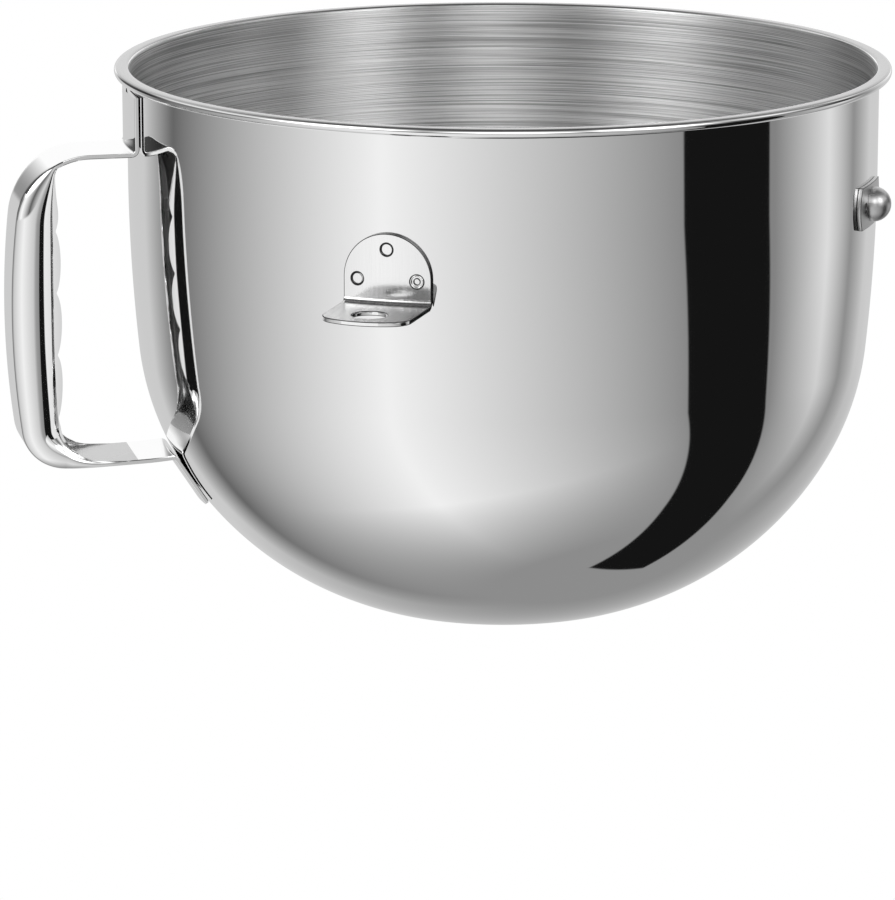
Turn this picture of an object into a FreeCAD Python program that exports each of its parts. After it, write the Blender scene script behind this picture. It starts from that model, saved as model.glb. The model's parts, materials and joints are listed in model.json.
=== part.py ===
"""Stand mixer bowl for a bowl-lift machine: pressed and polished stainless steel.

The bowl stands on its flat base. The origin is the centre of the base's underside and +Z is up.
+Y points at the rear latch pin. The two lifting brackets are on +X and -X, and the handle is
between -Y and +X. Everything but the pin is sheet metal, so sections are drawn as a track of
straights and bends, with the sheet's thickness laid to one side of it.
"""
import FreeCAD
import Part
import math
import os

V = FreeCAD.Vector
UP = V(0, 0, 1)
os.makedirs("parts", exist_ok=True)

# ---- bowl (mm) ----
SHEET = 0.9                # stainless sheet of the bowl
WALL_R = 121.5             # outside radius of the straight wall
STRAIGHT_H = 33.4          # straight wall, from the waist up to the rim's flare
WAIST_R, WAIST_TURN = 580.0, 5.7       # slow curve under the straight wall
BELLY_R, BELLY_TURN = 88.0, 22.0
BOTTOM_R = 106.0
BASE_BLEND_R, BASE_BLEND_TURN = 30.0, 20.0   # curve that runs into the flat base
RIM_OUT = 4.05             # how far the rolled rim stands out from the wall
RIM_H = 2.9                # height of the rolled rim
FLARE_R = 0.4              # bend under the rim, on the outside of the sheet
CURL_GAP = 0.4             # from the rim's turned-in edge to the wall

# ---- lifting brackets ----
BRACKET_T = 1.5
BRACKET_W = 28.0
BRACKET_DROP = 33.4        # rim to the top of the bracket
LEDGE_DROP = 55.0          # rim to the top of the ledge
LEDGE_REACH = 28.6         # wall to the ledge's front edge
LEDGE_NOSE_R = 26.0        # arch of the front edge
LEDGE_CORNER_R = 7.0
BRACKET_BEND_R = 1.6
HOLE_D = 11.0
HOLE_REACH = 18.3          # wall to the hole's centre
WELD_D, WELD_DEPTH = 4.0, 0.35
WELD_TOP_DROP = 4.9        # bracket's top to the upper weld
WELD_LOW_DROP = 14.4       # bracket's top to the two lower welds
WELD_LOW_PITCH = 19.0

# ---- rear latch ----
LATCH_DROP = 39.9          # rim to the pin's axis
LATCH_T = 1.4
LATCH_L, LATCH_H = 26.0, 13.8
LATCH_END_RISE = 1.8       # how far each end bows out
LATCH_WELD_D, LATCH_WELD_PITCH = 3.0, 15.6
PIN_D = 11.2
PIN_COLLAR = 0.5           # short straight part under the dome

# ---- handle ----
HANDLE_AT = -60.4          # degrees from +X, seen from above
STRAP_T = 1.4
STRAP_W = 25.4
GRIP_W = 27.0              # over the rounded sides of the grip
HANDLE_REACH = 41.0        # wall to the grip's face at its fullest
TAB_DROP = 5.5             # rim to the top of the upper tab
ARM_DROP = 23.2            # rim to the top of the upper arm
FOOT_DROP = 125.6          # rim to the underside of the lower arm, under the grip
FOOT_RISE = 2.0            # degrees by which the lower arm rises to the bowl
GRIP_MID_DROP = 76.0       # rim to the fullest point of the grip's bow
BOW_R = 276.0
TOP_CORNER_R = 24.0
FOOT_CORNER_R = 14.0
TAB_BEND_R = 1.2
LOWER_TAB_BELOW = 7.1      # underside of the lower arm to the middle of the lower tab
LOWER_TAB_L = 14.2
TAB_CORNER_R = 2.0
WELD_STANDOFF = 0.25       # the tabs sit on weld projections this high
TAB_WELD_D, TAB_WELD_PITCH = 5.0, 11.0
PAD_DEPTH = 1.5            # pads run this far in, and are cut off at the wall
# rolled, scalloped edges of the grip
GRIP_SIDE_R = 1.6          # rounding from the grip's face into its flanks
GRIP_DEPTH = 15.5          # face to the crest of a scallop
CREASE_FADE = 3.0          # how fast the strap's crisp edge runs out into the rounding
CREASE_TURN = 60.0         # degrees of each corner by which it has run out
SCALLOPS = 3               # whole scallops below the half one at the top
SCALLOP_PITCH = 20.3
SCALLOP_RISE = 1.35
SCALLOP_NODE_R = 2.5       # hollow between two scallops
FIRST_CREST_DROP = 38.1    # rim to the crest of the half scallop
LIP_R = 11.5               # roll of the flanks, in towards each other
LIP_SPREAD = 0.1           # the roll starts this far outside the grip's sides
PALM_TOP_R, PALM_FOOT_R = 4.0, 18.0    # corners of the hand hole
FOOT_RUNOUT = 15.0         # degrees by which the edge slopes in below the last hollow
SLOT_W, SLOT_NODE_W = 9.0, 15.0        # gap between the rolled edges, at crests and hollows


def heading(angle):
    """Unit vector in the XZ plane at this angle (degrees) above +X."""
    return V(math.cos(math.radians(angle)), 0, math.sin(math.radians(angle)))


class Track:
    """A run of straights and tangent bends in the XZ plane, which can be redrawn to one side."""

    def __init__(self, start, angle):
        self.start, self.angle = start, angle
        self.moves = []
        self.at, self.to = start, angle

    def straight(self, length):
        self.moves.append((length, 0.0))
        self.at = self.at + heading(self.to) * length
        return self

    def turn(self, radius, degrees):
        """Bend left by a positive angle, right by a negative one."""
        side = 90 if degrees > 0 else -90
        centre = self.at + heading(self.to + side) * radius
        self.moves.append((radius, degrees))
        self.to += degrees
        self.at = centre - heading(self.to + side) * radius
        return self

    def edges(self, left=0.0):
        """The track's edges, moved to its left by this distance (negative: to its right)."""
        point, angle = self.start + heading(self.angle + 90) * left, self.angle
        made = []
        for size, degrees in self.moves:
            if degrees == 0.0:
                end = point + heading(angle) * size
                made.append(Part.makeLine(point, end))
            else:
                side = 90 if degrees > 0 else -90
                radius = size - left if degrees > 0 else size + left
                centre = point + heading(angle + side) * radius
                middle = centre - heading(angle + degrees / 2 + side) * radius
                angle += degrees
                end = centre - heading(angle + side) * radius
                made.append(Part.Arc(point, middle, end).toShape())
            point = end
        return made


def ends(edges):
    """First and last point of a run of edges."""
    first, last = edges[0], edges[-1]
    return first.valueAt(first.FirstParameter), last.valueAt(last.LastParameter)


def closed_face(edges, *corners):
    """Face inside a run of edges that is closed through the given corner points."""
    start, end = ends(edges)
    stops = [end, *corners, start]
    lines = [Part.makeLine(a, b) for a, b in zip(stops, stops[1:])]
    return Part.Face(Part.Wire(edges + lines))


def sheet_face(track, left):
    """Section of a sheet that lies to one side of a track."""
    near, far = track.edges(), track.edges(left)
    (near_start, near_end), (far_start, far_end) = ends(near), ends(far)
    caps = [Part.makeLine(near_end, far_end), Part.makeLine(far_start, near_start)]
    return Part.Face(Part.Wire(Part.__sortEdges__(near + far + caps)))


def slab(face, width):
    """Face of the XZ plane made as thick as width, with half on each side of the plane."""
    solid = face.extrude(V(0, width, 0))
    solid.translate(V(0, -width / 2, 0))
    return solid


def rod(diameter, start, end):
    along = end - start
    return Part.makeCylinder(diameter / 2, along.Length, start, along)


# ---- the bowl's outline, from the middle of the base to the rim ----
BOTTOM_TURN = 90 - BASE_BLEND_TURN - BELLY_TURN - WAIST_TURN
WALL_BENDS = [(BASE_BLEND_R, BASE_BLEND_TURN), (BOTTOM_R, BOTTOM_TURN),
              (BELLY_R, BELLY_TURN), (WAIST_R, WAIST_TURN)]


def bends_reach():
    """How far the bends carry the outline out from the flat base."""
    reach, turned = 0.0, 0.0
    for radius, degrees in WALL_BENDS:
        reach += radius * (math.sin(math.radians(turned + degrees)) - math.sin(math.radians(turned)))
        turned += degrees
    return reach


BASE_R = WALL_R - bends_reach()        # radius of the flat underside


def wall_track():
    """Outside of the bowl, up to the rim's flare."""
    track = Track(V(0, 0, 0), 0).straight(BASE_R)
    for radius, degrees in WALL_BENDS:
        track.turn(radius, degrees)
    return track.straight(STRAIGHT_H)


CURL_R = RIM_H / 2 - SHEET             # inside of the rim's half-round edge
RIM_Z = wall_track().at.z + FLARE_R + SHEET


def level(drop):
    """Height of something that is this far below the rim."""
    return RIM_Z - drop


def wall_at(z):
    """Point of the outside wall at a height, and the wall's heading there (degrees)."""
    at, turned = V(BASE_R, 0, 0), 0.0
    for radius, degrees in WALL_BENDS:
        centre = at + heading(turned + 90) * radius
        turned += degrees
        at = centre - heading(turned + 90) * radius
        if z <= at.z:
            here = math.degrees(math.acos((centre.z - z) / radius))
            return centre - heading(here + 90) * radius, here
    return V(WALL_R, 0, z), 90.0


def bowl_shell():
    track = wall_track().turn(FLARE_R, -90)
    track.straight(WALL_R + RIM_OUT - RIM_H / 2 - track.at.x)
    track.turn(CURL_R, -180)
    track.straight(track.at.x - WALL_R - CURL_GAP)
    return sheet_face(track, SHEET).revolve(V(0, 0, 0), UP, 360)


def bowl_blank():
    """Everything inside the bowl's outside wall: the seat of what is welded on."""
    track = wall_track()
    return closed_face(track.edges(), V(0, 0, track.at.z)).revolve(V(0, 0, 0), UP, 360)


BLANK = bowl_blank()


# ---- lifting brackets ----
def bracket_outline():
    """Front view of the upright leg, with a round top, as a bar along X."""
    half, top, low = BRACKET_W / 2, level(BRACKET_DROP), level(LEDGE_DROP) - 4 * BRACKET_T
    left, right = V(0, -half, top - half), V(0, half, top - half)
    arch = Part.Arc(left, V(0, 0, top), right).toShape()
    face = closed_face([arch], V(0, half, low), V(0, -half, low))
    return face.extrude(V(2 * WALL_R, 0, 0))


def ledge_outline():
    """Plan of the ledge, with an arched front and rounded corners, as a bar along Z."""
    half, front = BRACKET_W / 2, WALL_R + LEDGE_REACH
    shoulder = front - (LEDGE_NOSE_R - math.sqrt(LEDGE_NOSE_R ** 2 - half ** 2))
    nose = Part.Arc(V(shoulder, -half, 0), V(front, 0, 0), V(shoulder, half, 0)).toShape()
    bar = closed_face([nose], V(0, half, 0), V(0, -half, 0)).extrude(V(0, 0, RIM_Z))
    corners = [e for e in bar.Edges
               if e.BoundBox.ZLength > RIM_Z / 2 and abs(e.BoundBox.XMin - shoulder) < 0.01]
    return bar.makeFillet(LEDGE_CORNER_R, corners)


def side_bracket():
    """Bracket on the +X side: a leg that follows the wall and a ledge with a hole for the lift pin."""
    face_r = WALL_R + BRACKET_T
    leg = LEDGE_DROP - BRACKET_DROP - BRACKET_BEND_R
    track = Track(V(face_r, 0, level(BRACKET_DROP)), -90).straight(leg).turn(BRACKET_BEND_R, 90)
    track.straight(WALL_R + LEDGE_REACH - track.at.x)
    section = sheet_face(track, -BRACKET_T)
    sweep = math.degrees(BRACKET_W / WALL_R)
    section.rotate(V(0, 0, 0), UP, -sweep / 2)
    bracket = section.revolve(V(0, 0, 0), UP, sweep)
    bracket = bracket.common(bracket_outline()).common(ledge_outline()).cut(BLANK)
    hole_x, ledge_z = WALL_R + HOLE_REACH, level(LEDGE_DROP)
    bracket = bracket.cut(rod(HOLE_D, V(hole_x, 0, ledge_z + 1), V(hole_x, 0, ledge_z - BRACKET_T - 1)))
    top = level(BRACKET_DROP)
    for y, z in ((0, top - WELD_TOP_DROP),
                 (-WELD_LOW_PITCH / 2, top - WELD_LOW_DROP),
                 (WELD_LOW_PITCH / 2, top - WELD_LOW_DROP)):
        floor_x = math.sqrt(face_r ** 2 - y ** 2) - WELD_DEPTH
        bracket = bracket.cut(rod(WELD_D, V(floor_x, y, z), V(floor_x + 3, y, z)))
    return bracket.removeSplitter()


# ---- rear latch ----
def latch_plate():
    """Low plate on the +Y side that follows the wall and carries the pin."""
    half_l, half_h, z = LATCH_L / 2, LATCH_H / 2, level(LATCH_DROP)
    shoulder = half_l - LATCH_END_RISE
    arcs = [Part.Arc(V(side * shoulder, 0, z - side * half_h), V(side * half_l, 0, z),
                     V(side * shoulder, 0, z + side * half_h)).toShape() for side in (1, -1)]
    lines = [Part.makeLine(V(shoulder, 0, z + h), V(-shoulder, 0, z + h)) for h in (half_h, -half_h)]
    outline = Part.Face(Part.Wire(Part.__sortEdges__(arcs + lines)))
    face_r = WALL_R + LATCH_T
    plate = outline.extrude(V(0, 2 * WALL_R, 0))
    plate = plate.common(Part.makeCylinder(face_r, LATCH_H + 2, V(0, 0, z - half_h - 1))).cut(BLANK)
    for x in (-LATCH_WELD_PITCH / 2, LATCH_WELD_PITCH / 2):
        floor_y = math.sqrt(face_r ** 2 - x ** 2) - WELD_DEPTH
        plate = plate.cut(rod(LATCH_WELD_D, V(x, floor_y, z), V(x, floor_y + 3, z)))
    return plate


def latch_pin(plate):
    """Domed pin, standing on the face of the latch plate."""
    r, z = PIN_D / 2, level(LATCH_DROP)
    base = V(0, WALL_R, z)
    dome = V(0, WALL_R + LATCH_T + PIN_COLLAR, z)
    head = rod(PIN_D, base, dome).fuse(Part.makeSphere(r, dome))
    ahead = Part.makeBox(4 * r, 4 * r, 4 * r, V(-2 * r, WALL_R + LATCH_T / 2, z - 2 * r))
    seat = Part.makeCylinder(WALL_R + LATCH_T, 4 * r, V(0, 0, z - 2 * r))
    return head.common(ahead).cut(seat).cut(plate).removeSplitter()


# ---- handle, drawn towards +X ----
def handle_lines():
    """Centres and headings that the handle's tracks share."""
    face_x = WALL_R + WELD_STANDOFF + STRAP_T
    arm_z = level(ARM_DROP)
    bow = V(WALL_R + HANDLE_REACH - BOW_R, 0, level(GRIP_MID_DROP))
    foot_point = V(WALL_R, 0, level(FOOT_DROP) + (HANDLE_REACH - FOOT_CORNER_R)
                   * math.tan(math.radians(FOOT_RISE)))
    return face_x, arm_z, bow, foot_point


def corner_on_bow(bow, radius, point, angle):
    """Centre of a corner that touches a straight and runs into the bow from inside."""
    along, inward = heading(angle), heading(angle + 90)
    if inward.dot(bow - point) < 0:
        inward = inward * -1
    base = point + inward * radius - bow
    half_b = base.dot(along)
    root = math.sqrt(half_b ** 2 - base.dot(base) + (BOW_R - radius) ** 2)
    return bow + base + along * (root - half_b)


def loop_corners(lift=0.0):
    """Centres of the two corners between the arms and the grip's bow."""
    _, arm_z, bow, foot_point = handle_lines()
    top = corner_on_bow(bow, TOP_CORNER_R + lift, V(WALL_R, 0, arm_z + lift), 0)
    foot_start = foot_point - heading(90 - FOOT_RISE) * lift
    return top, corner_on_bow(bow, FOOT_CORNER_R + lift, foot_start, -FOOT_RISE)


def loop_track(back, lift=0.0):
    """Outer face of arms and grip. Lift raises the arms and keeps the grip where it is."""
    _, arm_z, bow, foot_point = handle_lines()
    top, foot = loop_corners(lift)
    top_r, foot_r = TOP_CORNER_R + lift, FOOT_CORNER_R + lift
    top_turn = math.degrees(math.asin((top.z - bow.z) / (BOW_R - top_r)))
    foot_turn = math.degrees(math.asin((bow.z - foot.z) / (BOW_R - foot_r)))
    track = Track(V(back, 0, arm_z + lift), 0).straight(top.x - back)
    track.turn(top_r, top_turn - 90).turn(BOW_R, -top_turn - foot_turn)
    track.turn(foot_r, foot_turn - 90 - FOOT_RISE)
    return track.straight((track.at.x - back) / math.cos(math.radians(FOOT_RISE)))


def strap_track():
    """Outer face of the whole strap, from the upper tab's top to the lower tab's end."""
    face_x, arm_z, bow, foot_point = handle_lines()
    loop = loop_track(face_x + TAB_BEND_R)
    seat, wall_to = wall_at(level(FOOT_DROP + LOWER_TAB_BELOW))
    face = seat + heading(wall_to - 90) * (WELD_STANDOFF + STRAP_T)
    arm_end, arm_to = loop.at, 180 - FOOT_RISE
    # where the lower arm's underside would cross the lower tab's face
    down = heading(wall_to + 180)
    across, drop = heading(arm_to), face - arm_end
    scale = across.x * down.z - across.z * down.x
    arm_more = (drop.x * down.z - drop.z * down.x) / scale
    crossing = arm_end + across * arm_more
    bend = wall_to + 180 - arm_to
    bend_run = TAB_BEND_R * math.tan(math.radians(bend / 2))
    track = Track(V(face_x, 0, level(TAB_DROP)), -90)
    track.straight(ARM_DROP - TAB_DROP - TAB_BEND_R).turn(TAB_BEND_R, 90)
    for size, degrees in loop.moves[:-1]:
        track.straight(size) if degrees == 0.0 else track.turn(size, degrees)
    track.straight((crossing - track.at).Length - bend_run).turn(TAB_BEND_R, bend)
    tab_middle = (face - crossing).Length
    track.straight(tab_middle + LOWER_TAB_L / 2 - bend_run)
    return track


def lip_track(back):
    """Edge of the grip that faces the bowl: a half scallop, then whole ones, then a run-out."""
    _, arm_z, bow, foot_point = handle_lines()
    crest_x = WALL_R + HANDLE_REACH - GRIP_DEPTH
    theta = 2 * math.degrees(math.atan(SCALLOP_RISE / (SCALLOP_PITCH / 2)))
    crest_r = SCALLOP_PITCH / 2 / math.sin(math.radians(theta)) - SCALLOP_NODE_R
    start_z = arm_z - STRAP_T / 2
    track = Track(V(back, 0, start_z), 0).straight(crest_x - PALM_TOP_R - back)
    track.turn(PALM_TOP_R, -90).straight(track_drop(track, FIRST_CREST_DROP))
    track.turn(crest_r, theta)
    for _ in range(SCALLOPS):
        track.turn(SCALLOP_NODE_R, -2 * theta).turn(crest_r, 2 * theta)
    track.turn(SCALLOP_NODE_R, -theta - FOOT_RUNOUT)
    # run out to the lower arm's sheet
    arm_to = 180 - FOOT_RISE
    down, across = heading(track.to), heading(arm_to)
    middle = foot_point + heading(90 - FOOT_RISE) * (STRAP_T / 2)
    gap = middle - track.at
    run = (gap.x * across.z - gap.z * across.x) / (down.x * across.z - down.z * across.x)
    turn = arm_to - 360 - track.to
    track.straight(run - PALM_FOOT_R * math.tan(math.radians(-turn / 2))).turn(PALM_FOOT_R, turn)
    return track.straight((track.at.x - back) / math.cos(math.radians(FOOT_RISE)))


def track_drop(track, drop):
    """Length of a straight that goes down to this far below the rim."""
    return track.at.z - level(drop)


def long_edges(solid, width, keep):
    """Edges in the two side faces of a slab whose middles pass a test."""
    chosen = []
    for edge in solid.Edges:
        middle = edge.valueAt((edge.FirstParameter + edge.LastParameter) / 2)
        if abs(edge.BoundBox.YMin - edge.BoundBox.YMax) < 0.01 and keep(middle):
            if abs(abs(middle.y) - width / 2) < 0.01:
                chosen.append(edge)
    return chosen


def loop_slab(inset, lift=0.0):
    """Block that fills the handle's loop, with its outer edges rounded."""
    back = WALL_R - 40 - inset
    edges = loop_track(back, lift).edges(-inset)
    block = slab(closed_face(edges), GRIP_W - 2 * inset)
    rounded = long_edges(block, GRIP_W - 2 * inset, lambda p: p.x > back + 0.01)
    return block.makeFillet(GRIP_SIDE_R - inset, rounded)


def lip_slab(inset):
    """Block on the grip's side of the scalloped edge, with that edge rolled over."""
    back = WALL_R - 45
    far = WALL_R + HANDLE_REACH + 30
    edges = lip_track(back).edges(inset)
    start, end = ends(edges)
    high, low = start.z + 20, end.z - 20
    width = GRIP_W + 2 * LIP_SPREAD - 2 * inset
    block = slab(closed_face(edges, V(back, 0, low), V(far, 0, low), V(far, 0, high),
                             V(back, 0, high)), width)
    rolled = long_edges(block, width,
                        lambda p: back + 0.01 < p.x < far - 0.01 and low + 0.01 < p.z < high - 0.01)
    return block.makeFillet(LIP_R - inset, rolled)


def slot_bar():
    """Gap between the rolled edges, wide at the crests and narrow in the hollows, along X."""
    wide, narrow = SLOT_W / 2, SLOT_NODE_W / 2
    nodes = [level(FIRST_CREST_DROP + SCALLOP_PITCH * (i + 0.5)) for i in range(SCALLOPS + 1)]
    high, low = level(ARM_DROP) + 5, level(FOOT_DROP) - 5
    edges = []
    for side in (1, -1):
        stops = nodes if side > 0 else nodes[::-1]
        near_end, far_end = (high, low) if side > 0 else (low, high)
        edges.append(Part.makeLine(V(0, side * wide, near_end), V(0, side * wide, (near_end + stops[0]) / 2)))
        edges.append(Part.makeLine(V(0, side * wide, (near_end + stops[0]) / 2), V(0, side * narrow, stops[0])))
        for a, b in zip(stops, stops[1:]):
            edges.append(Part.Arc(V(0, side * narrow, a), V(0, side * wide, (a + b) / 2),
                                  V(0, side * narrow, b)).toShape())
        edges.append(Part.makeLine(V(0, side * narrow, stops[-1]), V(0, side * wide, (far_end + stops[-1]) / 2)))
        edges.append(Part.makeLine(V(0, side * wide, (far_end + stops[-1]) / 2), V(0, side * wide, far_end)))
        edges.append(Part.makeLine(V(0, side * wide, far_end), V(0, -side * wide, far_end)))
    return Part.Face(Part.Wire(edges)).extrude(V(2 * WALL_R, 0, 0))


def grip():
    """Rounded channel of the grip: open towards the bowl, with rolled, scalloped edges."""
    tube = loop_slab(0).common(lip_slab(0))
    hollow = loop_slab(STRAP_T).common(lip_slab(STRAP_T))
    inside = slab(closed_face(loop_track(WALL_R - 60).edges(-STRAP_T)), GRIP_W)
    return tube.cut(hollow).cut(slot_bar().common(inside))


def rounded_tab_ends(strap, track):
    """Round the corners of both tabs' free ends."""
    tips = (track.start, track.at)
    corners = [e for e in strap.Edges
               if abs(e.Length - STRAP_T) < 0.01
               and min((e.CenterOfMass - tip).Length for tip in tips) < STRAP_W / 2 + STRAP_T
               and e.BoundBox.YLength < 0.01]
    return strap.makeFillet(TAB_CORNER_R, corners)


def weld_pads(point, along, outward):
    """Four low projections behind a tab, which carry it on the curved wall."""
    half = TAB_WELD_PITCH / 2
    pads = []
    for side in (-half, half):
        for run in (-half / 2, half / 2):
            face = point + along * run + V(0, side, 0)
            pads.append(rod(TAB_WELD_D, face, face - outward * PAD_DEPTH))
    return pads


def handle():
    """Strap handle, welded on by its two tabs, turned to its place round the bowl."""
    track = strap_track()
    strap = rounded_tab_ends(slab(sheet_face(track, -STRAP_T), STRAP_W), track)
    # past the upper bend, the arms' crisp edges run out into the rounding of the grip
    past_bend = WALL_R + WELD_STANDOFF + STRAP_T + TAB_BEND_R
    zone = Part.makeBox(2 * WALL_R, 2 * GRIP_W, 2 * RIM_Z, V(past_bend, -GRIP_W, -RIM_Z / 2))
    top, foot = loop_corners()
    run_out = math.cos(math.radians(CREASE_TURN))
    low = foot.z - FOOT_CORNER_R * run_out
    bow_zone = Part.makeBox(2 * WALL_R, 2 * GRIP_W, top.z + TOP_CORNER_R * run_out - low,
                            V(past_bend, -GRIP_W, low))
    arms = strap.common(zone).cut(bow_zone).common(loop_slab(0, CREASE_FADE))
    body = strap.cut(zone).fuse(arms).fuse(grip().common(zone))
    # pads under the upper tab, and under the lower one
    upper_z = level((TAB_DROP + ARM_DROP) / 2)
    pads = weld_pads(V(WALL_R + WELD_STANDOFF, 0, upper_z), V(0, 0, 1), V(1, 0, 0))
    seat, wall_to = wall_at(level(FOOT_DROP + LOWER_TAB_BELOW))
    outward = heading(wall_to - 90)
    pads += weld_pads(seat + outward * WELD_STANDOFF, heading(wall_to), outward)
    body = body.multiFuse(pads).cut(BLANK)
    body.rotate(V(0, 0, 0), UP, HANDLE_AT)
    return body.removeSplitter()


def main():
    right = side_bracket()
    left = right.copy()
    left.rotate(V(0, 0, 0), UP, 180)
    plate = latch_plate()
    nodes = {
        "bowl_shell": bowl_shell(),
        "side_bracket_right": right,
        "side_bracket_left": left,
        "latch_plate": plate,
        "latch_pin": latch_pin(plate),
        "handle": handle(),
    }
    for name, shape in nodes.items():
        shape.exportStep(f"parts/{name}.step")
        print(name, "valid" if shape.isValid() else "NOT VALID", len(shape.Solids), "solid",
              round(shape.Volume), "mm3")


main()
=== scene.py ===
"""Looks of a stand mixer bowl: pressed stainless steel, polished outside and brushed inside.

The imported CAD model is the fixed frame. The bowl and its strap handle are drawn again as fine
meshes of the same shape, so that polished steel reflects cleanly, and the small welded parts are
finished from the CAD solids. Lengths in this file are millimetres until a mesh is made.
"""
import json
import logging
import math
from dataclasses import dataclass, field
from enum import Enum
from typing import Dict, List, Optional, Sequence, Tuple, Union

import bmesh
import bpy
from mathutils import Matrix, Vector

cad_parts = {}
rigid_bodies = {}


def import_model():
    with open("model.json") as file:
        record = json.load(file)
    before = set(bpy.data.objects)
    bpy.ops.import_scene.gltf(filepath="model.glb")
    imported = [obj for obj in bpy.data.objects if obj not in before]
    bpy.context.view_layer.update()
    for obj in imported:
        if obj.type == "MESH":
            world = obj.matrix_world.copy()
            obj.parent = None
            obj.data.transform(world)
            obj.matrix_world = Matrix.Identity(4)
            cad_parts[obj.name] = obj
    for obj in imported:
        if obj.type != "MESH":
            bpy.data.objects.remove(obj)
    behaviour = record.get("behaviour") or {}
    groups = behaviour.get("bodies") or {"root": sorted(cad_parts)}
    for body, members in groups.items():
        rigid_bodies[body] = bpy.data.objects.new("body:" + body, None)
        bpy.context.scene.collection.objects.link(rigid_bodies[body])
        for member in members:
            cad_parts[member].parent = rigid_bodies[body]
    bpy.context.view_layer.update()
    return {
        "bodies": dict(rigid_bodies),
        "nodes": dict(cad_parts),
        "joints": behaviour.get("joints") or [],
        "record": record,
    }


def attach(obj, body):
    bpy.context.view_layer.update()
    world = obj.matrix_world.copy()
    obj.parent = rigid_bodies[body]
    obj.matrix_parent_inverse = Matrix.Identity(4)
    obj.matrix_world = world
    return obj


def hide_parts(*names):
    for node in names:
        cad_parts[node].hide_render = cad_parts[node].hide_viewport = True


LOG = logging.getLogger("mixer_bowl")
MM = 0.001


# finishes
class Polish(Enum):
    """How a steel surface was finished."""

    WIPED = "wiped"          # polished, with a faint uneven haze
    TURNED = "turned"        # brushed in circles round the bowl's axis
    UPRIGHT = "upright"      # brushed up and down


@dataclass(frozen=True)
class SteelFinish:
    """Numbers that make one stainless steel finish."""

    name: str
    polish: Polish
    grey: float
    roughness: float
    spread: float = 0.0          # how far roughness varies
    anisotropic: float = 0.0
    line_pitch: float = 0.0      # distance between brush lines, mm
    line_depth: float = 0.0      # strength of the brush lines' bump
    line_tone: float = 0.0       # how much darker the dark brush lines are


MIRROR = SteelFinish("steel_mirror", Polish.WIPED, 0.93, 0.035, spread=0.02)
PRESSED = SteelFinish("steel_pressed", Polish.WIPED, 0.93, 0.07, spread=0.04)
# the top of the rim: the same polished steel made darker, painted shade
SHADED_RIM_TOP = SteelFinish("steel_rim", Polish.WIPED, 0.42, 0.16, spread=0.06)
# the inside of the handle's strap and roll: the same steel made darker, painted shade
SHADED_HOLLOW = SteelFinish("steel_hollow", Polish.WIPED, 0.55, 0.28, spread=0.10)
# near black steel: painted shade lines along softened edges, the brackets' plate edges and the
# handle's crease; also the dark weld rings
SHADE_AND_WELD_DARK = SteelFinish("steel_cut_edge", Polish.WIPED, 0.09, 0.30, spread=0.10)
SATIN = SteelFinish("steel_satin", Polish.WIPED, 0.60, 0.34, spread=0.08)
PLATE = SteelFinish("steel_plate", Polish.UPRIGHT, 0.97, 0.10, spread=0.04,
                    line_pitch=0.45, line_depth=0.10, line_tone=0.03)
# the bracket's ledge top: real brush lines, on steel made darker as painted shade
SHADED_LEDGE = SteelFinish("steel_ledge", Polish.UPRIGHT, 0.46, 0.20, spread=0.08,
                    line_pitch=0.45, line_depth=0.25, line_tone=0.25)
BRUSHED = SteelFinish("steel_brushed", Polish.TURNED, 0.99, 0.33, spread=0.06, anisotropic=1.0,
                      line_pitch=0.28, line_depth=0.30, line_tone=0.60)


@dataclass(frozen=True)
class Band:
    """One stop of a light that changes with the angle round an axis."""

    angle: float         # degrees
    grey: float          # as displayed on polished steel, 0 to 255


# node trees
class Value:
    """A socket that carries one number, with Python's operators on it."""

    def __init__(self, tree: bpy.types.NodeTree, socket: bpy.types.NodeSocket) -> None:
        """Args: the node tree and the socket."""
        self.tree = tree
        self.socket = socket

    def _sum(self, operation: str, *terms: "Number") -> "Value":
        """Adds one Math node.

        Args: its operation and its terms.
        Returns: its result.
        """
        node = self.tree.nodes.new("ShaderNodeMath")
        node.operation = operation
        for slot, term in zip(node.inputs, terms):
            if isinstance(term, Value):
                self.tree.links.new(term.socket, slot)
            else:
                slot.default_value = term
        return Value(self.tree, node.outputs[0])

    def __add__(self, other: "Number") -> "Value":
        """self + other."""
        return self._sum("ADD", self, other)

    def __radd__(self, other: float) -> "Value":
        """other + self."""
        return self._sum("ADD", other, self)

    def __sub__(self, other: "Number") -> "Value":
        """self - other."""
        return self._sum("SUBTRACT", self, other)

    def __rsub__(self, other: float) -> "Value":
        """other - self."""
        return self._sum("SUBTRACT", other, self)

    def __mul__(self, other: "Number") -> "Value":
        """self * other."""
        return self._sum("MULTIPLY", self, other)

    def __rmul__(self, other: float) -> "Value":
        """other * self."""
        return self._sum("MULTIPLY", other, self)

    def __truediv__(self, other: "Number") -> "Value":
        """self / other."""
        return self._sum("DIVIDE", self, other)

    def __rtruediv__(self, other: float) -> "Value":
        """other / self."""
        return self._sum("DIVIDE", other, self)

    def __gt__(self, other: "Number") -> "Value":
        """1 where self > other, and 0 elsewhere."""
        return self._sum("GREATER_THAN", self, other)

    def __abs__(self) -> "Value":
        """The value without its sign."""
        return self._sum("ABSOLUTE", self)

    def least(self, other: "Number") -> "Value":
        """The smaller of the two."""
        return self._sum("MINIMUM", self, other)

    def angle_from(self, ahead: "Value") -> "Value":
        """The angle from the direction of ahead towards that of self, in radians."""
        return self._sum("ARCTAN2", self, ahead)


Number = Union[float, Value]


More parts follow.
